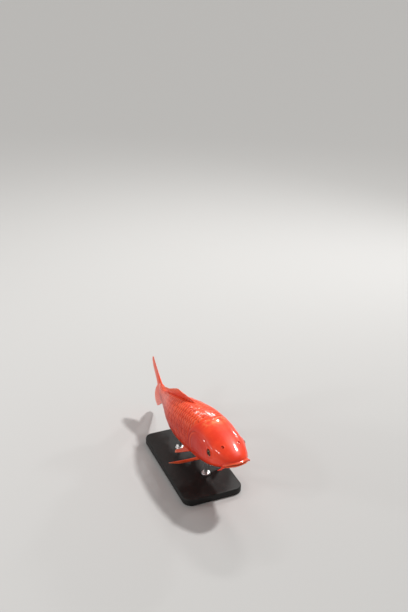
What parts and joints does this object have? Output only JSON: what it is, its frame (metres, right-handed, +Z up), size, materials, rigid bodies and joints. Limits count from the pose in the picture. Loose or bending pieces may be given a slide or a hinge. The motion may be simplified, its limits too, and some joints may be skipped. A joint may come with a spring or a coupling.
{
  "type": "koi carp model",
  "caption": "Life-size still model of an orange-red koi carp gliding with a slight bend, held on a flat dark base by short steel rods.",
  "frame": {"origin": "middle of the whole model's plan box, at the level of the stand's underside", "axes": "+Z up; +Y toward the tail; the fish's right side is toward -X"},
  "size_m": [0.15, 0.4122, 0.1599],
  "materials": {
    "scaled_skin": "wet gloss orange-red over scales",
    "head_skin": "smooth wet gloss orange-red",
    "fin_skin": "thin ribbed satin orange-red",
    "eye": "polished black with a dark golden ring",
    "stand_base": "satin black lacquer",
    "stand_rod": "brushed"
  },
  "bodies": {
    "root": {"head": "scaled_skin", "trunk_front": "scaled_skin", "trunk_rear": "scaled_skin", "tail": "scaled_skin", "gill_cover_right": "head_skin", "gill_cover_left": "head_skin", "lower_jaw": "head_skin", "barbel_short_right": "head_skin", "barbel_short_left": "head_skin", "barbel_long_right": "head_skin", "barbel_long_left": "head_skin", "dorsal_fin": "fin_skin", "anal_fin": "fin_skin", "caudal_fin_upper": "fin_skin", "caudal_fin_lower": "fin_skin", "pectoral_fin_right": "fin_skin", "pectoral_fin_left": "fin_skin", "pelvic_fin_right": "fin_skin", "pelvic_fin_left": "fin_skin", "eye_right": "eye", "eye_left": "eye", "stand_base": "stand_base", "stand_rod_front": "stand_rod", "stand_rod_rear": "stand_rod"}
  },
  "joints": []
}
